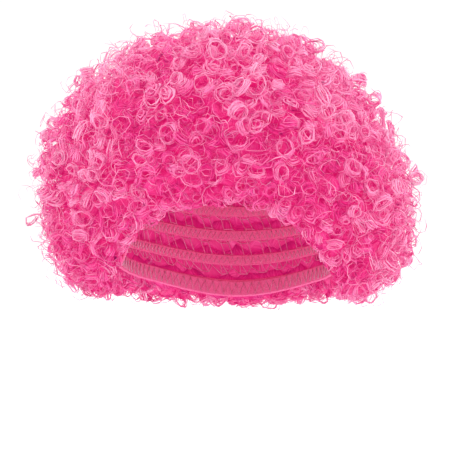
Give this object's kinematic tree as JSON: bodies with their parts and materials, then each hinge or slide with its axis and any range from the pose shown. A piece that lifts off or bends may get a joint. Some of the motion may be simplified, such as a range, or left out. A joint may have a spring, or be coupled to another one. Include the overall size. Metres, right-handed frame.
{
  "type": "clown wig",
  "caption": "Round, tightly curled wig: a net cap with an elastic edge, hollow for the head, and rows of curled locks sewn round it.",
  "frame": {"origin": "inside of the crown, where the top of the head touches the cap", "axes": "-Z down into the head's hollow, -Y towards the face opening, +X towards the wearer's left"},
  "size_m": [0.2659, 0.2773, 0.2146],
  "materials": {
    "net": "matte stretch net",
    "elastic": "matte ribbed elastic",
    "curls": "curled plastic fibre with a soft sheen"
  },
  "bodies": {
    "root": {"net_cap": "net", "edge_band": "elastic", "crown_tuft": "curls", "curl_row_01": "curls", "curl_row_02": "curls", "curl_row_03": "curls", "curl_row_04": "curls", "curl_row_05": "curls", "curl_row_06": "curls", "curl_row_07": "curls", "curl_row_08": "curls", "curl_row_09": "curls", "curl_row_10": "curls", "curl_row_11": "curls"}
  },
  "joints": []
}
